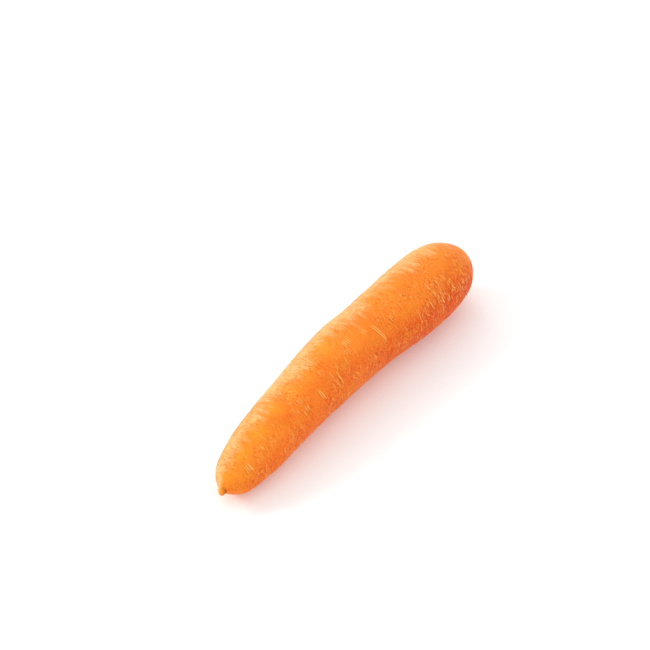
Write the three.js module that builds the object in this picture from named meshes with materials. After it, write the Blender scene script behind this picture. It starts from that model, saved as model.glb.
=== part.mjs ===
import * as THREE from 'three';
import { mergeVertices } from 'three/addons/utils/BufferGeometryUtils.js';

// A fresh carrot root, washed and trimmed, lying on its side: one solid.
// Millimetres, +Z up. The root runs along X, its tail tip towards -X and its crown towards +X,
// and it bows towards +Y. The origin is under the middle of its box, on the surface it lies on.

// ---------------------------------------------------------------- driving dimensions

// The skin from the tail tip to the middle of the crown: [how far along the root, radius there].
const SKIN = [
  [0.0, 0.0], // tail tip
  [0.2, 0.9],
  [1.1, 1.6], // stub of the tail
  [2.8, 2.2],
  [4.6, 3.5],
  [7.0, 5.9], // blunt end
  [11.0, 8.5],
  [18.0, 10.4],
  [29.0, 12.2],
  [43.0, 13.4],
  [57.0, 14.1],
  [75.0, 15.2],
  [92.0, 15.9],
  [110.0, 16.1],
  [127.0, 17.0],
  [146.0, 17.6], // widest
  [158.0, 17.0], // shoulder
  [168.0, 14.5],
  [174.0, 10.7],
  [176.6, 7.9], // rim of the crown
  [176.8, 6.3],
  [176.2, 5.2], // floor of the dimple
  [176.7, 4.1],
  [179.0, 3.3], // side of the trimmed leaf base
  [180.0, 2.2],
  [179.6, 0.0], // cut face of the leaf base
];

// The middle line: [how far along the root, swing towards +Y, rise over the level where it rests].
const MIDDLE_LINE = [
  [0, -1.7, -1.0],
  [5, 0.7, -2.0],
  [12, 1.3, -2.0],
  [30, 2.3, 0.0],
  [60, 4.3, 0.3],
  [88, 5.5, 0.5],
  [115, 4.7, 0.3],
  [138, 3.2, 0.0],
  [160, 3.1, -0.1],
  [180, 2.5, -0.6],
];

// The underside is level between these two stations.
const REST_FROM = 30;
const REST_TO = 150;
const REST_FLAT_DEPTH = 0.35; // how deep the flat spots cut into the round underside

// Mesh of the skin: sides round the root, and rings from the tail tip to the middle of the crown.
const SIDES = 32;
const RINGS = 134;
const CURVE_STEPS = 2000; // fineness of the polylines that curves are measured on
const WELD = 1e-3; // vertices closer than this are one

// Section, and slow swellings along the skin.
const OVAL = 0.018;
const OVAL_TWIST = 1 / 60; // radians per millimetre along the root
const THREE_LOBE = 0.01;
const THREE_LOBE_TWIST = -1 / 45;
const SWELL_HEIGHT = 0.28;
const SWELL_LENGTHS = [26, 43, 60, 77, 94, 111];

// Creases across the skin, where side roots were. They sit in four rows along the root.
const CREASE_ROWS = 4;
const CREASES_PER_ROW = 17;
const CREASE_FROM = 16;
const CREASE_TO = 166;
const CREASE_DEPTH = [0.12, 0.34];
const CREASE_SPREAD = [0.22, 0.55]; // half the angle that a crease spans, radians
const CREASE_DRIFT = [-0.5, 0.5]; // how far a crease strays round the root from its row, radians

// Relief fades out at both ends, and over the underside where the root rests.
const TAIL_FADE = [6, 16];
const CROWN_FADE = [164, 173];
const REST_FADE = [-0.95, -0.75]; // sine of the angle above level

const SEED = 20611;
const TURN = Math.PI * 2;

// ---------------------------------------------------------------- seeded random numbers

// A small generator with a fixed seed, so that every build gives the same root.
function seededRandom(seed) {
  let state = seed;
  return () => {
    state = (state * 1664525 + 1013904223) % 4294967296;
    return state / 4294967296;
  };
}

const random = seededRandom(SEED);

function between([low, high]) {
  return low + (high - low) * random();
}

// ---------------------------------------------------------------- outline and middle line

function curveThrough(points) {
  const curve = new THREE.CatmullRomCurve3(points.map(([x, y, z = 0]) => new THREE.Vector3(x, y, z)));
  curve.arcLengthDivisions = CURVE_STEPS;
  return curve;
}

// A curve's point at a station along X, taken from a fine polyline of the curve.
function stationFinder(points) {
  const polyline = curveThrough(points).getPoints(CURVE_STEPS);
  return (along) => {
    const found = polyline.findIndex((point) => point.x >= along);
    const next = found < 0 ? polyline.length - 1 : Math.max(found, 1);
    const a = polyline[next - 1];
    const b = polyline[next];
    return a.clone().lerp(b, THREE.MathUtils.clamp((along - a.x) / (b.x - a.x), 0, 1));
  };
}

const skinAt = stationFinder(SKIN.filter(([along]) => along < CROWN_FADE[0]));
const middleAt = stationFinder(MIDDLE_LINE);

// The middle line is as high as the skin's radius, so that the underside is level.
function restHeight(along) {
  return skinAt(THREE.MathUtils.clamp(along, REST_FROM, REST_TO)).y;
}

// ---------------------------------------------------------------- relief

const swells = SWELL_LENGTHS.map((length, i) => ({
  length,
  lobes: i % 3,
  phase: random() * TURN,
  twist: random() * TURN,
}));

function swellAt(along, angle) {
  let sum = 0;
  for (const { length, lobes, phase, twist } of swells) {
    sum += Math.sin((along / length) * TURN + phase) * Math.cos(lobes * angle + twist);
  }
  return (SWELL_HEIGHT * sum) / Math.sqrt(swells.length);
}

function makeCreases(rings) {
  const creases = [];
  for (let row = 0; row < CREASE_ROWS; row++) {
    for (let i = 0; i < CREASES_PER_ROW; i++) {
      const share = (i + random()) / CREASES_PER_ROW;
      const along = CREASE_FROM + (CREASE_TO - CREASE_FROM) * share;
      creases.push({
        ring: rings.findIndex((ring) => ring.y >= along),
        angle: ((row + 0.5) / CREASE_ROWS) * TURN + between(CREASE_DRIFT),
        spread: between(CREASE_SPREAD),
        depth: between(CREASE_DEPTH),
      });
    }
  }
  return creases;
}

// A crease dips one ring of the mesh, deepest at the middle of its span.
function creaseDepth(creases, ring, angle) {
  let depth = 0;
  for (const crease of creases) {
    const away = Math.atan2(Math.sin(angle - crease.angle), Math.cos(angle - crease.angle));
    if (crease.ring === ring && Math.abs(away) < crease.spread) {
      depth = Math.max(depth, crease.depth * Math.sqrt(1 - (away / crease.spread) ** 2));
    }
  }
  return depth;
}

// ---------------------------------------------------------------- the root

function fade(value, [from, to]) {
  return THREE.MathUtils.smoothstep(value, from, to);
}

function rootGeometry() {
  const outline = curveThrough(SKIN).getSpacedPoints(RINGS);
  const rings = outline.map((point) => new THREE.Vector2(Math.max(point.y, 0), point.x));
  const creases = makeCreases(rings);
  const lathe = new THREE.LatheGeometry(rings, SIDES);
  const position = lathe.getAttribute('position');
  for (let i = 0; i < position.count; i++) {
    const ring = i % rings.length;
    const { x: radius, y: along } = rings[ring];
    const angle = Math.atan2(position.getX(i), position.getZ(i));
    const amount =
      fade(along, TAIL_FADE) * (1 - fade(along, CROWN_FADE)) * fade(Math.sin(angle), REST_FADE);
    const oval = OVAL * Math.cos(2 * angle + OVAL_TWIST * along);
    const lobes = THREE_LOBE * Math.cos(3 * angle + THREE_LOBE_TWIST * along);
    const relief = swellAt(along, angle) - creaseDepth(creases, ring, angle);
    const reach = radius + (radius * (oval + lobes) + relief) * amount;
    const { y: swing, z: rise } = middleAt(along);
    const height = restHeight(along) + rise - REST_FLAT_DEPTH;
    const z = height + reach * Math.sin(angle);
    position.setXYZ(i, along, swing + reach * Math.cos(angle), Math.max(z, 0));
  }
  lathe.deleteAttribute('normal');
  lathe.deleteAttribute('uv');
  const geometry = mergeVertices(lathe, WELD);
  geometry.computeVertexNormals();
  return geometry;
}

const skin = new THREE.MeshStandardMaterial({ color: 0xf5821f, roughness: 0.55, metalness: 0 });
const root = new THREE.Mesh(rootGeometry(), skin);
root.name = 'carrot_root';

// The middle of the root's box goes over the origin.
root.geometry.computeBoundingBox();
const middle = root.geometry.boundingBox.getCenter(new THREE.Vector3());
root.geometry.translate(-middle.x, -middle.y, 0);

const group = new THREE.Group();
group.add(root);

export default group;
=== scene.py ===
"""The carrot's looks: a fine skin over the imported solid, a pale floor, soft light and the camera."""
import math
import random

import bpy
import numpy as np
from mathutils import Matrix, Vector, noise


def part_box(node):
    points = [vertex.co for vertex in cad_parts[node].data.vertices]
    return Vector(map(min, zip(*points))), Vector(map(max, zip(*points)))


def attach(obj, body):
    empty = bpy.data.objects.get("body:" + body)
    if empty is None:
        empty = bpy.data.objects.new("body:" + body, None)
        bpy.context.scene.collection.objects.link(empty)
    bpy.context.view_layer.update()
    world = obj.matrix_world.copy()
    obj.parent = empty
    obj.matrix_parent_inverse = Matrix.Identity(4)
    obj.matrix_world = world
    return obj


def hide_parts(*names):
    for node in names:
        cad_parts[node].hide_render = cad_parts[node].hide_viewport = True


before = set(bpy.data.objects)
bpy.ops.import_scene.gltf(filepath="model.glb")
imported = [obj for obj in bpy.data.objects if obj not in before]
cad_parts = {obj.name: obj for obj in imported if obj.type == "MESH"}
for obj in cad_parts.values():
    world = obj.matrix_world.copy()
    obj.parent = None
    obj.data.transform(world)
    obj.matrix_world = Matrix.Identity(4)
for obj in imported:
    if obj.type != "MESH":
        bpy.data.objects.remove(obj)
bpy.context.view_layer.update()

MM = 0.001
TURN = 2 * math.pi

# ------------------------------------------------------------------ driving values
#
# Lengths are in millimetres, unless a comment says otherwise. Places on the skin are millimetres along it
# from the tail tip, and degrees round it from +Y over the top. A size is along the root, then across it.
# A range gives the two ends of a smooth change.

NODE = "carrot_root"
WELD = 0.01  # corners of the solid that are this close are one

FINE_RINGS = 1090  # rings of the fine skin, from the tail tip to the middle of the crown
FINE_SIDES = 90
RINGS_OVER = 4  # rings that the splines along the skin are carried over each end
UV_MAP = "OFBake"  # the map that the colours can be baked into
UV_MARGIN = 0.01  # share of it left free on each side
NOISE_SHIFT = 17.3  # how far apart two seeds read the noise

# Low relief that the fine skin adds.
DENT_HEIGHT = 0.16
DENT_SIZE = (13.0, 13.0)
RIPPLE_HEIGHT = 0.05
RIPPLE_SIZE = (2.6, 9.0)
WRINKLE_HEIGHT = 0.05
WRINKLE_SIZE = (0.9, 4.0)
SMOOTH_WRINKLES = 0.3  # share of the wrinkles that smooth skin has; the roughest skin has 1 more
SKIN_INSET = 0.16  # keeps the relief inside the solid's box

# The relief sets in along the skin from either end, and above the floor.
CLEAR_OF_TAIL = (5, 14)
CLEAR_OF_CROWN = (12, 20)
CLEAR_OF_FLOOR = (0.15, 1.5)

# The crown, in ranges from its middle line outwards.
CROWN_DEPTH = 14  # how far back from its tip they count
LEAF_BASE_EDGE = (3.4, 4.3)
STALK_GAP_RANGE = (1.0, 2.6)
DIMPLE_EDGE = (4.4, 7.4)

# The cut leaf base: stalks round it, how deep the gaps between them are, and its grain.
STALKS = 7
STALK_GAP = 0.45
STALK_UNEVENNESS = 0.8  # radians
STUMP_GRAIN = 0.30
STUMP_GRAIN_SIZE = (1.2, 0.9)

# A pale stroke across the skin, where a side root was, and the groove beside it.
SCAR_RIDGE = 0.06
SCAR_GROOVE = 0.10
SCAR_WIDTH = 0.20  # from the middle line to where a stroke has faded to a third
SCAR_REACH = 5.0  # how far along the skin from its middle a stroke is drawn
SCAR_BOW = 0.010  # millimetres for each square millimetre across
SCAR_WAVE = 0.10
SCAR_WAVE_TURN = 1.7  # radians a millimetre
SCAR_TAPER = 0.4  # power; the lower it is, the blunter the ends of a stroke are
GROOVE_OFFSET = 2.1  # stroke widths, towards the tail

# How the strokes of a group differ.
GROUP_SPACING = (0.85, 1.1)
GROUP_TURN = 0.04  # radians either way
GROUP_LENGTH = (0.75, 1.1)  # times the group's length
GROUP_LEAN = 0.06  # either way
GROUP_STRENGTH = (0.8, 1.0)  # times the group's strength

# Chosen groups: (mm along the skin, degrees round, strokes, mm long, lean, strength). The lean is
# millimetres along the skin for each one across it.
CHOSEN_SCARS = [
    (109.0, 132, 2, 10.0, 0.20, 1.0),
    (92.4, 108, 4, 3.6, 0.10, 0.8),
    (89.5, 121, 2, 2.6, 0.25, 0.7),
    (86.0, 127, 1, 2.4, -0.15, 0.6),
    (78.6, 139, 1, 6.5, 0.05, 0.9),
    (76.4, 147, 1, 3.0, 0.25, 0.8),
    (66.4, 139, 2, 4.6, 0.15, 0.9),
    (56.6, 139, 2, 2.6, 0.20, 0.9),
    (54.0, 143, 1, 2.8, 0.10, 0.8),
    (51.5, 129, 1, 2.4, -0.20, 0.6),
    (19.2, 138, 1, 6.0, 0.12, 0.8),
    (17.9, 133, 1, 3.0, 0.05, 0.5),
    (31.5, 112, 1, 4.0, 0.00, 0.5),
    (43.0, 158, 1, 3.5, 0.10, 0.6),
    (153.5, 128, 1, 3.5, 0.25, 1.0),
    (148.7, 127, 1, 2.5, 0.20, 0.9),
    (143.1, 123, 1, 3.5, 0.10, 0.9),
    (156.2, 150, 1, 4.0, 0.20, 0.8),
    (147.6, 145, 2, 3.0, 0.20, 0.9),
    (144.1, 139, 1, 3.0, 0.15, 0.8),
    (140.0, 151, 1, 7.0, 0.30, 0.9),
    (137.8, 148, 1, 3.0, 0.20, 0.7),
    (147.3, 157, 1, 4.0, 0.10, 0.8),
    (145.9, 170, 1, 4.0, 0.10, 0.8),
    (156.2, 174, 1, 4.5, 0.15, 0.8),
    (151.0, 163, 2, 3.0, 0.20, 0.8),
    (160.5, 158, 1, 3.0, 0.10, 0.7),
    (131.3, 147, 1, 4.0, 0.10, 0.7),
    (165.3, 145, 1, 3.0, 0.15, 0.7),
    (122.0, 156, 1, 3.0, 0.10, 0.6),
    (100.5, 158, 1, 2.5, 0.15, 0.5),
]

# Seeded groups, in rows along the root.
SCAR_SEED = 4711
SCAR_ROWS = 4
SCARS_PER_ROW = 26
SEEDED_FROM = 14
SEEDED_OVER = 158
SEEDED_SPREAD = 24  # degrees from the row, for about two groups in three
SEEDED_COUNTS = (1, 1, 1, 2, 3)
SEEDED_LEAN = (-0.15, 0.30)
SEEDED_LENGTH = (1.4, 5.0)
SEEDED_STRENGTH = (0.2, 0.75)

# Patches of rougher, speckled skin: (mm along the skin, degrees round, mm to where it fades, strength).
ROUGH_PATCHES = [
    (16.0, 66, 9.0, 1.0),
    (34.0, 72, 8.0, 0.8),
    (53.0, 76, 8.0, 0.9),
    (73.0, 84, 9.0, 1.0),
    (95.0, 78, 9.0, 0.7),
    (122.0, 84, 10.0, 0.8),
    (150.0, 70, 10.0, 0.6),
    (57.0, 138, 6.0, 0.5),
    (40.0, 120, 5.0, 0.4),
    (90.0, 113, 6.0, 0.7),
    (82.0, 128, 6.0, 0.65),
    (76.0, 148, 7.0, 0.65),
    (100.0, 172, 11.0, 0.8),
    (118.0, 176, 10.0, 0.7),
    (136.0, 165, 11.0, 0.8),
    (147.0, 128, 8.0, 0.8),
    (150.0, 150, 13.0, 1.0),
    (162.0, 165, 12.0, 1.0),
    (168.0, 120, 9.0, 0.9),
    (172.0, 96, 8.0, 0.7),
    (22.0, 172, 10.0, 0.7),
    (45.0, 172, 11.0, 0.6),
    (72.0, 174, 11.0, 0.7),
]
PATCH_FALL = 1.6  # how fast a patch fades
ROUGH_ELSEWHERE = 0.6  # strength of the seeded rough patches
ROUGH_SIZE = (14, 10)
ROUGH_RANGE = (-0.05, 0.5)  # of the noise

# Golden patches towards the tail, as in ROUGH_PATCHES.
GOLD_PATCHES = [
    (9.0, 105, 5.0, 0.9),
    (20.0, 96, 6.0, 1.0),
    (32.0, 93, 7.0, 1.0),
    (45.0, 92, 6.0, 0.9),
    (57.0, 90, 6.0, 0.9),
    (70.0, 88, 6.0, 0.8),
    (84.0, 86, 6.0, 0.6),
    (5.0, 160, 5.0, 0.7),
]

# Painted shade: the skin is painted a deeper orange down the side turned from the key light, more so
# towards the crown.
SHADE_SIDE = 195
SHADE_RANGE = (0.40, 0.92)  # of the cosine from that side
SHADE_ALONG = (70, 150)
SHADE_AT_TAIL = 0.5  # share of the depth there

# Painted highlight: the skin is painted paler along the side towards the key light, patchy down the back.
HIGHLIGHT_SIDE = 58
HIGHLIGHT_OVER_TOP = 38  # degrees to where it ends, over the top
HIGHLIGHT_DOWN_BACK = 52  # and down the back
HIGHLIGHT_BLOTCH_STRENGTH = 1.1
HIGHLIGHT_BLOTCH_SIZE = (17, 9)
HIGHLIGHT_BLOTCH_RANGE = (-10, 40)  # degrees down the back from the pale side

# Painted shade: brown in the crease where the tail's stub leaves the blunt end.
STUB_CREASE_AT = 3.6
STUB_CREASE_WIDTH = 0.9
STUB_CREASE_SIDE = 200
STUB_CREASE_RANGE = (-0.6, 0.9)  # of the cosine from that side

# The camera looks at AIM from the tail's side and from above, in degrees and metres.
VIEW_AZIMUTH = -51.8
VIEW_ELEVATION = 43.3
VIEW_DISTANCE = 0.95
VIEW_LENS = 113.67  # millimetres
AIM = (0.0275, 0.03135, 0.0)
NEAREST_SEEN = 0.01

# Lights: degrees of azimuth and elevation, metres away, metres wide, watts.
LIGHTS = {
    "key": (-150, 30, 1.2, 0.5, 5.5),
    "fill": (150, 45, 1.2, 0.6, 1.5),
}
LIT_POINT = (0.0, 0.0, 0.015)  # metres

WHITE = (1.0, 1.0, 1.0, 1.0)
FLOOR_HALF = 4.0  # metres
FLOOR_SHADER = {
    "Base Color": (0.94, 0.94, 0.94, 1.0),
    "Roughness": 0.7,
    "Emission Color": WHITE,
    "Emission Strength": 0.06,
}


# ------------------------------------------------------------------ smooth steps and noise

def smoothstep(value, low, high):
    """From 0 at low to 1 at high, level at both."""
    t = np.clip((value - low) / (high - low), 0, 1)
    return t * t * (3 - 2 * t)


def noise_field(points, size, seed):
    """Smooth noise from -1 to 1 at each point of a grid in millimetres."""
    along, across = size
    scaled = points / (along, across, across) + seed * NOISE_SHIFT
    values = [noise.noise(point) for point in scaled.reshape(-1, 3).tolist()]
    return np.array(values).reshape(points.shape[:2])


# ------------------------------------------------------------------ the solid's rings, made finer

def in_order(ring, sides):
    """A ring's points in order round it, the first towards +Y. A single point is there for every side."""
    middle = ring.mean(axis=0)
    angle = np.arctan2(ring[:, 2] - middle[2], ring[:, 1] - middle[1])
    order = np.argsort((angle + math.pi / sides) % TURN)
    return np.resize(ring[order], (sides, 3))


def solid_grid():
    """The solid's vertices as a grid of rings from the tail tip to the crown, in metres."""
    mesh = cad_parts[NODE].data
    corners = np.array([v.co for v in mesh.vertices])
    rounded = np.round(corners / (WELD * MM)).astype(int)
    _, first, place = np.unique(rounded, axis=0, return_index=True, return_inverse=True)
    points = corners[first]
    place = place.ravel()
    neighbours = [set() for _ in points]
    for polygon in mesh.polygons:
        face = {int(place[i]) for i in polygon.vertices}
        for vertex in face:
            neighbours[vertex] |= face
    ring = [int(points[:, 0].argmin())]
    seen = set(ring)
    rings = []
    while ring:
        rings.append(points[ring])
        ring = sorted({n for v in ring for n in neighbours[v]} - seen)
        seen |= set(ring)
    sides = max(len(ring) for ring in rings)
    return np.array([in_order(ring, sides) for ring in rings])


def finer_round(grid, sides):
    """Adds points round each ring on the smooth closed curve through its own points."""
    waves = np.fft.rfft(grid, axis=1)
    waves[:, -1] *= 0.5  # the shortest wave counts once in the coarse ring and twice in the fine one
    return np.fft.irfft(waves, sides, axis=1) * sides / grid.shape[1]


def finer_along(grid, rings):
    """Adds rings on natural cubic splines through the grid's rings.

    The grid is carried over each end with its far side, so the skin is round there."""
    half = grid.shape[1] // 2
    tail = np.roll(grid[RINGS_OVER:0:-1], half, axis=1)
    crown = np.roll(grid[-2:-2 - RINGS_OVER:-1], half, axis=1)
    known = np.concatenate([tail, grid, crown])
    count = len(known)
    flat = known.reshape(count, -1)
    system = np.eye(count)
    right = np.zeros_like(flat)
    for i in range(1, count - 1):
        system[i, i - 1:i + 2] = (1, 4, 1)
        right[i] = 6 * (flat[i - 1] - 2 * flat[i] + flat[i + 1])
    bend = np.linalg.solve(system, right)
    at = np.linspace(RINGS_OVER, RINGS_OVER + len(grid) - 1, rings)
    low = at.astype(int)
    b = (at - low)[:, None]
    a = 1 - b
    straight = a * flat[low] + b * flat[low + 1]
    curve = ((a**3 - a) * bend[low] + (b**3 - b) * bend[low + 1]) / 6
    return (straight + curve).reshape(rings, *grid.shape[1:])


def normals_of(points):
    """Outward normals of a closed grid of rings."""
    along = np.gradient(points, axis=0)
    across = np.roll(points, -1, axis=1) - np.roll(points, 1, axis=1)
    normal = np.cross(across, along)
    normal[0] = (-1, 0, 0)
    normal[-1] = (1, 0, 0)
    return normal / np.linalg.norm(normal, axis=2, keepdims=True)


class Skin:
    """The solid's surface as a fine grid of points, in millimetres: rings along it, sides round it.

    Each ring has a mean radius and a distance along the skin from the tail tip, and each side an angle."""

    def __init__(self):
        self.grid = finer_along(finer_round(solid_grid(), FINE_SIDES), FINE_RINGS) / MM
        middle = self.grid.mean(axis=1)
        self.radius = np.linalg.norm(self.grid - middle[:, None], axis=2).mean(axis=1)
        steps = np.hypot(np.diff(middle[:, 0]), np.diff(self.radius))
        self.distance = np.concatenate([[0], np.cumsum(steps)])
        self.angles = np.arange(FINE_SIDES) * TURN / FINE_SIDES

    def off(self, angle):
        """How far each side is from an angle, in radians either way."""
        turn = self.angles - angle
        return np.arctan2(np.sin(turn), np.cos(turn))[None, :]

    def facing(self, degrees):
        """From 1 on the side at that angle to -1 on the side opposite."""
        return np.cos(self.angles - math.radians(degrees))[None, :]

    def clear_of_ends(self):
        """From 0 at both ends to 1 between them, a value for each ring."""
        from_tail = smoothstep(self.distance, *CLEAR_OF_TAIL)
        from_crown = smoothstep(self.distance[-1] - self.distance, *CLEAR_OF_CROWN)
        return (from_tail * from_crown)[:, None]


# ------------------------------------------------------------------ masks and relief of the fine skin

def add_scar(masks, skin, at, angle, length, lean, strength, wave):
    """Draws one stroke across the skin: a pale line, and a groove beside it whose mask also carries
    painted shade.
    """
    near = np.abs(skin.distance - at) < SCAR_REACH
    across = skin.off(angle) * skin.radius[near][:, None]
    bend = SCAR_BOW * across**2 + SCAR_WAVE * np.sin(SCAR_WAVE_TURN * across + wave)
    from_line = (skin.distance[near][:, None] - at - lean * across - bend) / SCAR_WIDTH
    share = np.clip(1 - (2 * across / length) ** 2, 0, 1)
    pale = np.exp(-(from_line**2)) * share**SCAR_TAPER * strength
    dark = np.exp(-((from_line + GROOVE_OFFSET) ** 2)) * share * strength
    masks["scar"][near] = np.maximum(masks["scar"][near], pale)
    masks["groove"][near] = np.maximum(masks["groove"][near], dark)


def draw_scars(skin):
    """Masks of the pale strokes and of the grooves beside them."""
    masks = {name: np.zeros(skin.grid.shape[:2]) for name in ("scar", "groove")}
    draw = random.Random(SCAR_SEED)

    def group(at, degrees, count, length, lean, strength):
        for i in range(count):
            place = at + (i - (count - 1) / 2) * draw.uniform(*GROUP_SPACING)
            turn = math.radians(degrees) + draw.uniform(-GROUP_TURN, GROUP_TURN)
            long = length * draw.uniform(*GROUP_LENGTH)
            tilt = lean + draw.uniform(-GROUP_LEAN, GROUP_LEAN)
            bright = strength * draw.uniform(*GROUP_STRENGTH)
            add_scar(masks, skin, place, turn, long, tilt, bright, draw.uniform(0, TURN))

    for chosen in CHOSEN_SCARS:
        group(*chosen)
    for row in range(SCAR_ROWS):
        for i in range(SCARS_PER_ROW):
            at = SEEDED_FROM + SEEDED_OVER * (i + draw.random()) / SCARS_PER_ROW
            degrees = 360 * (row + 0.5) / SCAR_ROWS + draw.gauss(0, SEEDED_SPREAD)
            count = draw.choice(SEEDED_COUNTS)
            lean = draw.uniform(*SEEDED_LEAN)
            length = draw.uniform(*SEEDED_LENGTH)
            group(at, degrees, count, length, lean, draw.uniform(*SEEDED_STRENGTH))
    return masks


def draw_patches(skin, patches):
    """Mask of soft round patches."""
    mask = np.zeros(skin.grid.shape[:2])
    for at, degrees, reach, strength in patches:
        across = skin.off(math.radians(degrees)) * skin.radius[:, None]
        away = np.hypot(skin.distance[:, None] - at, across) / reach
        mask = np.maximum(mask, strength * np.exp(-PATCH_FALL * away**2))
    return mask


def from_crown(grid):
    """Distance from the crown's middle line, and infinite anywhere further back than CROWN_DEPTH."""
    crown = grid[-1, 0]
    away = np.linalg.norm(grid[:, :, 1:] - crown[1:], axis=2)
    return np.where(grid[:, :, 0] > crown[0] - CROWN_DEPTH, away, np.inf)


def mark_masks(skin):
    """Masks of the strokes and grooves, of rough skin and of the golden patches."""
    masks = draw_scars(skin)
    elsewhere = ROUGH_ELSEWHERE * smoothstep(noise_field(skin.grid, ROUGH_SIZE, seed=1), *ROUGH_RANGE)
    masks["rough"] = np.maximum(draw_patches(skin, ROUGH_PATCHES), elsewhere)
    masks["gold"] = draw_patches(skin, GOLD_PATCHES)
    return masks


def skin_relief(skin, masks):
    """How far the skin stands out from the solid."""
    relief = DENT_HEIGHT * noise_field(skin.grid, DENT_SIZE, seed=2)
    relief += RIPPLE_HEIGHT * noise_field(skin.grid, RIPPLE_SIZE, seed=3)
    wrinkles = noise_field(skin.grid, WRINKLE_SIZE, seed=4)
    relief += WRINKLE_HEIGHT * wrinkles * (SMOOTH_WRINKLES + masks["rough"])
    relief += SCAR_RIDGE * masks["scar"] - SCAR_GROOVE * masks["groove"] - SKIN_INSET
    return relief * skin.clear_of_ends() * smoothstep(skin.grid[:, :, 2], *CLEAR_OF_FLOOR)


def stump_relief(skin):
    """How far the cut end of the leaf base stands back: the gaps between its stalks, and its grain."""
    wave = np.cos(STALKS * skin.angles + STALK_UNEVENNESS * np.sin(2 * skin.angles))
    gaps = STALK_GAP * (0.5 - 0.5 * wave) * smoothstep(from_crown(skin.grid), *STALK_GAP_RANGE)
    grain = STUMP_GRAIN * (0.5 + 0.5 * noise_field(skin.grid, STUMP_GRAIN_SIZE, seed=5))
    return gaps + grain


def place_masks(skin, grid):
    """Masks of the side with painted shade, of the pale painted highlight band, of the dimple, of the
    painted shade in the crease at the stub, and of the way along the root.
    """
    # Painted shade: a deeper orange down the side turned from the key light, more towards the crown.
    along_depth = SHADE_AT_TAIL + (1 - SHADE_AT_TAIL) * smoothstep(skin.distance, *SHADE_ALONG)
    # Painted highlight: paler along the side towards the key light, patchy down the back.
    off = np.degrees(skin.off(math.radians(HIGHLIGHT_SIDE)))
    reach = np.where(off > 0, HIGHLIGHT_OVER_TOP, HIGHLIGHT_DOWN_BACK)
    blotches = noise_field(grid, HIGHLIGHT_BLOTCH_SIZE, seed=6) * smoothstep(-off, *HIGHLIGHT_BLOTCH_RANGE)
    # Painted shade in the crease at the stub.
    crease = np.exp(-(((skin.distance - STUB_CREASE_AT) / STUB_CREASE_WIDTH) ** 2))
    return {
        "painted_shade": smoothstep(skin.facing(SHADE_SIDE), *SHADE_RANGE) * along_depth[:, None],
        "pale": 1 - np.abs(off) / reach + HIGHLIGHT_BLOTCH_STRENGTH * blotches,
        "dimple": 1 - smoothstep(from_crown(grid), *DIMPLE_EDGE),
        "crease": crease[:, None] * smoothstep(skin.facing(STUB_CREASE_SIDE), *STUB_CREASE_RANGE),
        "along": np.repeat(skin.distance[:, None] / skin.distance[-1], FINE_SIDES, axis=1),
    }


def fine_skin():
    """The fine skin's points, in metres, and its masks, one value a point."""
    skin = Skin()
    masks = mark_masks(skin)
    stump = 1 - smoothstep(from_crown(skin.grid), *LEAF_BASE_EDGE)
    relief = skin_relief(skin, masks) - stump_relief(skin) * stump
    grid = skin.grid + normals_of(skin.grid) * relief[:, :, None]
    low, high = (np.array(corner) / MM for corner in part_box(NODE))
    grid = np.clip(grid, low, high)
    masks = {name: mask * skin.clear_of_ends() for name, mask in masks.items()}
    masks.update(place_masks(skin, grid), stump=stump)
    return grid * MM, masks


# ------------------------------------------------------------------ mesh

def skin_faces(rings, sides):
    """The faces of the closed skin, and each face corner's place on it: sides round, rings along.

    Vertex 0 is the tail tip, then come the rings of vertices, and the last is the middle of the crown."""
    faces = []
    places = []
    crown = 1 + (rings - 2) * sides
    for side in range(sides):
        after = (side + 1) % sides
        faces.append((0, 1 + side, 1 + after))
        places += [(side + 0.5, 0), (side, 1), (side + 1, 1)]
        for ring in range(1, rings - 2):
            low = 1 + (ring - 1) * sides
            high = low + sides
            faces.append((low + side, high + side, high + after, low + after))
            places += [(side, ring), (side, ring + 1), (side + 1, ring + 1), (side + 1, ring)]
        low = crown - sides
        faces.append((low + side, crown, low + after))
        places += [(side, rings - 2), (side + 0.5, rings - 1), (side + 1, rings - 2)]
    return faces, places


def one_a_vertex(grid):
    """A grid's values with the tail tip and the middle of the crown only once each."""
    between = grid[1:-1].reshape(-1, *grid.shape[2:])
    return np.concatenate([grid[0, :1], between, grid[-1, :1]])


def skin_mesh(points, masks):
    """One closed mesh, with its masks as attributes.

    The UV map lays the skin out flat: once round the root is the width, tail to crown is the height."""
    rings, sides = points.shape[:2]
    faces, places = skin_faces(rings, sides)
    mesh = bpy.data.meshes.new("carrot_skin")
    mesh.from_pydata(one_a_vertex(points).tolist(), [], faces)
    for name, mask in masks.items():
        values = one_a_vertex(mask).astype(np.float32)
        mesh.attributes.new(name, "FLOAT", "POINT").data.foreach_set("value", values)
    flat = UV_MARGIN + (1 - 2 * UV_MARGIN) * np.array(places) / (sides, rings - 1)
    mesh.uv_layers.new(name=UV_MAP).data.foreach_set("uv", flat.astype(np.float32).ravel())
    mesh.shade_smooth()
    mesh.update()
    return mesh


# ------------------------------------------------------------------ colours and patterns

def rgb(red, green, blue):
    """A colour given as on screen, from 0 to 255, in the shader's linear scale, by the sRGB rule."""
    def linear(c):
        c /= 255
        return c / 12.92 if c <= 0.04045 else ((c + 0.055) / 1.055) ** 2.4
    return (linear(red), linear(green), linear(blue), 1.0)


ORANGE = rgb(254, 140, 42)
# DEEP_ORANGE tones the random blotches, and is also the painted shade down one side.
DEEP_ORANGE = rgb(226, 68, 0)
GOLD = rgb(247, 152, 34)
PALE = rgb(255, 208, 116)
PEACH = rgb(254, 180, 88)
# Painted highlight: the pale tint of the side towards the key light.
HIGHLIGHT_TINT = rgb(235, 168, 106)
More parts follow.
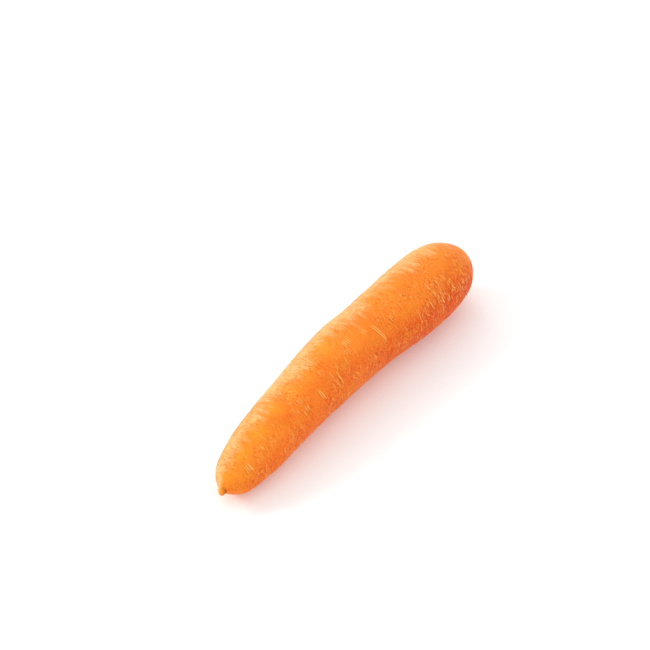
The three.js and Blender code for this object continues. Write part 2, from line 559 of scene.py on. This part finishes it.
# Painted glints on wrinkles, inside the painted highlight.
GLINT = rgb(248, 196, 128)
RUST = rgb(190, 52, 0)
OCHRE = rgb(190, 116, 44)
PORE = rgb(140, 62, 14)
# Painted shade in the crease at the stub.
CREASE_SHADE_BROWN = rgb(128, 66, 16)
DIMPLE = rgb(196, 116, 34)
DIMPLE_DARK = rgb(140, 84, 28)
STUMP = rgb(186, 160, 100)
STUMP_GREEN = rgb(124, 128, 58)
STUMP_BROWN = rgb(112, 80, 40)

# Noise patterns: (mm along the root, mm across it, seed, detail, and the values of the noise that become
# 0 and 1).
BLOTCHES = (24, 14, 1, 3.0, 0.36, 0.66)
# Mottle of the painted shade down one side.
SHADE_MOTTLE = (16, 9, 11, 3.0, 0.25, 0.60)
GOLD_MOTTLE = (13, 7, 2, 3.0, 0.46, 0.70)
# Ragged edges and streaks of the painted highlight band.
HIGHLIGHT_FINGERS = (2.2, 13, 12, 3.0, 0.3, 0.7)
HIGHLIGHT_ISLANDS = (15, 15, 21, 2.0, 0.3, 0.7)
HIGHLIGHT_STREAKS = (2.5, 5, 19, 3.0, 0.35, 0.60)
RUST_SPOTS = (1.1, 1.6, 3, 2.0, 0.50, 0.64)
LIGHT_GRAIN = (0.5, 0.7, 22, 2.0, 0.50, 0.66)
DARK_GRAIN = (0.5, 0.7, 22, 2.0, 0.48, 0.34)
FRECKLES = (0.75, 1.0, 17, 3.0, 0.46, 0.60)
# Dashes of painted glints, inside the painted highlight.
GLINT_DASHES = (0.6, 2.6, 18, 2.0, 0.50, 0.60)
DARK_DASHES = (0.55, 2.2, 4, 2.0, 0.55, 0.64)
LIGHT_DASHES = (0.55, 2.6, 5, 2.0, 0.56, 0.64)
SPECKS = (0.7, 1.0, 6, 1.0, 0.60, 0.68)
# Mottle of the painted shade in the crease at the stub.
CREASE_SHADE_MOTTLE = (0.8, 1.0, 20, 3.0, 0.35, 0.60)
DIMPLE_RAGS = (2.6, 2.6, 13, 4.0, 0.3, 0.7)
DIMPLE_MOTTLE = (0.9, 0.9, 14, 4.0, 0.35, 0.65)
STUMP_FIBRE = (4.0, 0.45, 15, 3.0, 0.40, 0.62)
STUMP_MOTTLE = (1.8, 1.3, 16, 3.0, 0.42, 0.62)
SHEEN = (6, 5, 10, 3.0, 0.3, 0.7)

# Ranges of the masks, once the patterns above have made their edges ragged.
HIGHLIGHT_EDGE = (-0.05, 0.95)
DIMPLE_FADE = (0.25, 0.75)

TAIL_GOLD = (0.13, 0.02)  # range, as a share of the way from the tail tip to the crown
# The painted highlight band counts this far as rough skin, for its speckle and dashes.
HIGHLIGHT_ROUGHNESS = 0.55  # how far the pale band counts as rough skin
PORE_SPACING = (3.1, 2.6)
PORE_SIZE = (0.12, 0.05)  # share of the spacing, from the edge of a pore to where it is full
NO_PORE = 0.78  # share of the places that have none

# Fine bump, too small for the mesh: (mm along the root, mm across it, seed, detail).
BUMP_GRAIN = (0.55, 0.7, 8, 3.0)
BUMP_WRINKLES = (0.5, 2.6, 9, 2.0)
BUMP_GRAIN_SHARE = 0.8  # of the wrinkles' height
BUMP_RISE = (0.35, 1.0)  # on smooth skin, on rough skin
BUMP_STRENGTH = 0.8
BUMP_HEIGHT = 0.35

# Dashes and bump wrinkles wander along the root, by another noise.
WANDER_SIZE = 6.0
WANDER_REACH = 5.0

SEED_SHIFT = (3.7, 5.1, 7.9)  # how far apart two seeds read the shader's noise

SKIN_ROUGHNESS = (0.40, 0.56)
SKIN_SHADER = {
    "Specular IOR Level": 0.10,
    "Subsurface Weight": 0.25,
    "Subsurface Radius": (1.0, 0.35, 0.1),
    "Subsurface Scale": 3 * MM,
}


# ------------------------------------------------------------------ material

def principled(name, settings):
    """A new material and its shader, with the given sockets set."""
    material = bpy.data.materials.new(name)
    material.use_nodes = True
    shader = material.node_tree.nodes["Principled BSDF"]
    for socket, value in settings.items():
        shader.inputs[socket].default_value = value
    return material, shader


class Nodes:
    """Short calls that add shader nodes and return their result sockets."""

    MIX_AMOUNT, MIX_UNDER, MIX_OVER, MIX_RESULT = 0, 6, 7, 2  # sockets of a mix of colours

    def __init__(self, material):
        self.tree = material.node_tree
        self.position = self.add("ShaderNodeTexCoord").outputs["Object"]
        self.wandering = self.wander()

    def add(self, kind, inputs=(), **settings):
        node = self.tree.nodes.new(kind)
        for name, value in settings.items():
            setattr(node, name, value)
        for name, value in dict(inputs).items():
            self.feed(node.inputs[name], value)
        return node

    def feed(self, socket, value):
        if isinstance(value, bpy.types.NodeSocket):
            self.tree.links.new(value, socket)
        else:
            socket.default_value = value

    def attribute(self, name):
        return self.add("ShaderNodeAttribute", attribute_name=name).outputs["Fac"]

    def math(self, operation, a, b):
        return self.add("ShaderNodeMath", {0: a, 1: b}, operation=operation).outputs[0]

    def times(self, a, b):
        return self.math("MULTIPLY", a, b)

    def scaled(self, along, across, seed, position=None):
        """Coordinates stretched so that one unit is the given millimetres."""
        one = 1 / MM
        size = (one / along, one / across, one / across)
        place = [seed * shift for shift in SEED_SHIFT]
        inputs = {"Vector": position or self.position, "Scale": size, "Location": place}
        return self.add("ShaderNodeMapping", inputs).outputs["Vector"]

    def noise(self, along, across, seed, detail, position=None):
        inputs = {"Vector": self.scaled(along, across, seed, position), "Scale": 1.0, "Detail": detail}
        return self.add("ShaderNodeTexNoise", inputs).outputs["Fac"]

    def wander(self):
        """Object coordinates moved a little along the root, by smooth noise."""
        drift = self.noise(WANDER_SIZE, WANDER_SIZE, seed=0, detail=1.0)
        slide = self.times(self.math("SUBTRACT", drift, 0.5), WANDER_REACH * MM)
        offset = self.add("ShaderNodeCombineXYZ", {"X": slide}).outputs["Vector"]
        return self.add("ShaderNodeVectorMath", {0: self.position, 1: offset}, operation="ADD").outputs[0]

    def ramp(self, value, low, high, to_low=0.0, to_high=1.0):
        inputs = {"Value": value, "From Min": low, "From Max": high, "To Min": to_low, "To Max": to_high}
        node = self.add("ShaderNodeMapRange", inputs, interpolation_type="SMOOTHSTEP")
        return node.outputs["Result"]

    def pattern(self, settings, to_low=0.0, to_high=1.0, position=None):
        """The mask of a noise pattern, from to_low to to_high."""
        along, across, seed, detail, low, high = settings
        return self.ramp(self.noise(along, across, seed, detail, position), low, high, to_low, to_high)

    def dashes(self, settings):
        """The mask of a noise pattern that wanders a little."""
        return self.pattern(settings, position=self.wandering)

    def rising(self, mask, at_none, at_full):
        """A strength that rises with a mask."""
        return self.ramp(mask, 0.0, 1.0, at_none, at_full)

    def cells(self, along, across, seed):
        """Distance to the nearest of scattered points, and a random value for that point."""
        node = self.add("ShaderNodeTexVoronoi", {"Vector": self.scaled(along, across, seed), "Scale": 1.0})
        pick = self.add("ShaderNodeSeparateColor", {"Color": node.outputs["Color"]})
        return node.outputs["Distance"], pick.outputs["Red"]

    def mix(self, amount, under, over):
        inputs = {self.MIX_AMOUNT: amount, self.MIX_UNDER: under, self.MIX_OVER: over}
        return self.add("ShaderNodeMix", inputs, data_type="RGBA").outputs[self.MIX_RESULT]

    def paint(self, under, over, mask, strength):
        """One colour over another where a mask is. The strength is a number or another mask."""
        return self.mix(self.times(mask, strength), under, over)


def paint_tones(n):
    """Orange with broad blotches, a deeper orange painted as shade down one side, and gold in patches and
    at the tail.
    """
    colour = n.paint(ORANGE, DEEP_ORANGE, n.pattern(BLOTCHES), strength=0.35)
    # Painted shade: deeper orange down the side turned from the key light.
    painted_shade = n.times(n.attribute("painted_shade"), n.pattern(SHADE_MOTTLE, to_low=0.7))
    colour = n.paint(colour, DEEP_ORANGE, painted_shade, strength=0.9)
    patches = n.times(n.attribute("gold"), 0.9)
    gold = n.math("MAXIMUM", n.pattern(GOLD_MOTTLE, to_high=0.35), patches)
    colour = n.mix(gold, colour, GOLD)
    return n.paint(colour, GOLD, n.ramp(n.attribute("along"), *TAIL_GOLD), strength=0.5)


def highlight_band(n):
    """Mask of the painted highlight: a pale band along the side towards the key light, with a ragged edge.
    """
    fingers = n.pattern(HIGHLIGHT_FINGERS, to_low=-0.30, to_high=0.30)
    islands = n.pattern(HIGHLIGHT_ISLANDS, to_low=-0.28, to_high=0.28)
    ragged = n.math("ADD", fingers, islands)
    return n.ramp(n.math("ADD", n.attribute("pale"), ragged), *HIGHLIGHT_EDGE)


def paint_speckle(n, colour, rough, mark):
    """Rusty spots, light and dark grain, and freckles, more of them where the painted shade is."""
    colour = n.paint(colour, mark, n.times(n.pattern(RUST_SPOTS), rough), strength=0.35)
    colour = n.paint(colour, PEACH, n.pattern(LIGHT_GRAIN), strength=0.16)
    colour = n.paint(colour, mark, n.pattern(DARK_GRAIN), strength=0.15)
    # Freckles grow where the painted shade is.
    return n.paint(colour, RUST, n.pattern(FRECKLES), n.rising(n.attribute("painted_shade"), 0.08, 0.5))


def paint_dashes(n, colour, pale, rough, mark):
    """A hatch of short strokes: painted glints inside the painted highlight band, dark and light ones, and
    pale specks.
    """
    # Painted glints: pale dashes on the wrinkles, only inside the painted highlight band.
    colour = n.paint(colour, GLINT, n.dashes(GLINT_DASHES), n.times(pale, 0.6))
    colour = n.paint(colour, mark, n.dashes(DARK_DASHES), n.rising(rough, 0.04, 0.55))
    colour = n.paint(colour, PEACH, n.dashes(LIGHT_DASHES), n.rising(rough, 0.08, 0.65))
    return n.paint(colour, PALE, n.pattern(SPECKS), n.rising(rough, 0.02, 0.25))


def paint_marks(n, colour):
    """The strokes where side roots were, with painted shade in their grooves, pores, and painted shade in
    the crease at the stub.
    """
    # Painted shade in the groove beside each stroke.
    colour = n.paint(colour, RUST, n.attribute("groove"), strength=0.65)
    colour = n.paint(colour, PALE, n.attribute("scar"), strength=0.95)
    distance, pick = n.cells(*PORE_SPACING, seed=7)
    pore = n.times(n.ramp(distance, *PORE_SIZE), n.math("GREATER_THAN", pick, NO_PORE))
    colour = n.paint(colour, PORE, pore, strength=0.6)
    # Painted shade: brown in the crease at the stub.
    return n.paint(colour, CREASE_SHADE_BROWN, n.attribute("crease"), n.pattern(CREASE_SHADE_MOTTLE, to_low=0.4))


def paint_crown(n, colour):
    """The dimple round the leaf base, mottled olive brown, and the dry cut leaf base in it."""
    ragged = n.pattern(DIMPLE_RAGS, to_low=-0.2, to_high=0.2)
    dimple = n.ramp(n.math("ADD", n.attribute("dimple"), ragged), *DIMPLE_FADE)
    brown = n.mix(n.pattern(DIMPLE_MOTTLE), DIMPLE, DIMPLE_DARK)
    colour = n.paint(colour, brown, dimple, strength=0.9)
    stump = n.mix(n.pattern(STUMP_MOTTLE), STUMP, STUMP_GREEN)
    stump = n.paint(stump, STUMP_BROWN, n.pattern(STUMP_FIBRE), strength=0.7)
    return n.mix(n.attribute("stump"), colour, stump)


def skin_colour(n):
    """The colour of the skin, painted from its broad tones, painted shade and painted highlight to its
    small marks, and of the crown.
    """
    # pale is the mask of the painted highlight; inside it, marks are ochre and the skin is streaked with
    # its pale tint.
    pale = highlight_band(n)
    rough = n.math("MAXIMUM", n.attribute("rough"), n.times(pale, HIGHLIGHT_ROUGHNESS))
    mark = n.mix(pale, RUST, OCHRE)
    streaks = n.times(pale, n.pattern(HIGHLIGHT_STREAKS, to_low=0.6))
    colour = n.paint(paint_tones(n), HIGHLIGHT_TINT, streaks, strength=0.95)
    colour = paint_speckle(n, colour, rough, mark)
    colour = paint_dashes(n, colour, pale, rough, mark)
    colour = paint_marks(n, colour)
    return paint_crown(n, colour)


def skin_bump(n):
    """Fine grain and cross wrinkles, stronger on rough skin."""
    grain = n.times(n.noise(*BUMP_GRAIN), BUMP_GRAIN_SHARE)
    wrinkles = n.noise(*BUMP_WRINKLES, n.wandering)
    height = n.times(n.math("ADD", grain, wrinkles), n.rising(n.attribute("rough"), *BUMP_RISE))
    bump = {"Height": height, "Strength": BUMP_STRENGTH, "Distance": BUMP_HEIGHT * MM}
    return n.add("ShaderNodeBump", bump).outputs["Normal"]


def skin_material():
    material, shader = principled("carrot_skin", SKIN_SHADER)
    n = Nodes(material)
    n.feed(shader.inputs["Base Color"], skin_colour(n))
    n.feed(shader.inputs["Roughness"], n.pattern(SHEEN, *SKIN_ROUGHNESS))
    n.feed(shader.inputs["Normal"], skin_bump(n))
    return material


# ------------------------------------------------------------------ the root

def add_object(name, data):
    """A new object in the scene."""
    obj = bpy.data.objects.new(name, data)
    bpy.context.scene.collection.objects.link(obj)
    return obj


def make_root():
    points, masks = fine_skin()
    root = add_object("carrot", skin_mesh(points, masks))
    root.data.materials.append(skin_material())
    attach(root, "root")
    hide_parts(NODE)


# ------------------------------------------------------------------ floor, light, camera

def make_floor():
    mesh = bpy.data.meshes.new("floor")
    half = FLOOR_HALF
    corners = [(-half, -half, 0), (half, -half, 0), (half, half, 0), (-half, half, 0)]
    mesh.from_pydata(corners, [], [(0, 1, 2, 3)])
    material, _ = principled("floor", FLOOR_SHADER)
    mesh.materials.append(material)
    add_object("floor", mesh)


def direction(azimuth, elevation):
    """The way from the root to something seen at that azimuth and elevation."""
    a, e = math.radians(azimuth), math.radians(elevation)
    return Vector((math.sin(a) * math.cos(e), -math.cos(a) * math.cos(e), math.sin(e)))


def look(obj, at):
    obj.rotation_euler = (Vector(at) - obj.location).to_track_quat("-Z", "Y").to_euler()


def add_light(name, azimuth, elevation, distance, size, power):
    light = bpy.data.lights.new(name, "AREA")
    light.shape = "DISK"
    light.size = size
    light.energy = power
    obj = add_object(name, light)
    obj.location = direction(azimuth, elevation) * distance
    look(obj, LIT_POINT)
    obj.visible_camera = False


def make_light():
    for name, settings in LIGHTS.items():
        add_light(name, *settings)
    world = bpy.data.worlds.new("studio")
    world.use_nodes = True
    world.node_tree.nodes["Background"].inputs["Color"].default_value = WHITE
    bpy.context.scene.world = world
    bpy.context.scene.view_settings.view_transform = "Standard"


def make_camera():
    camera = bpy.data.cameras.new("camera")
    camera.lens = VIEW_LENS
    camera.clip_start = NEAREST_SEEN
    obj = add_object("camera", camera)
    obj.location = Vector(AIM) + direction(VIEW_AZIMUTH, VIEW_ELEVATION) * VIEW_DISTANCE
    look(obj, AIM)
    bpy.context.scene.camera = obj


make_root()
make_floor()
make_light()
make_camera()
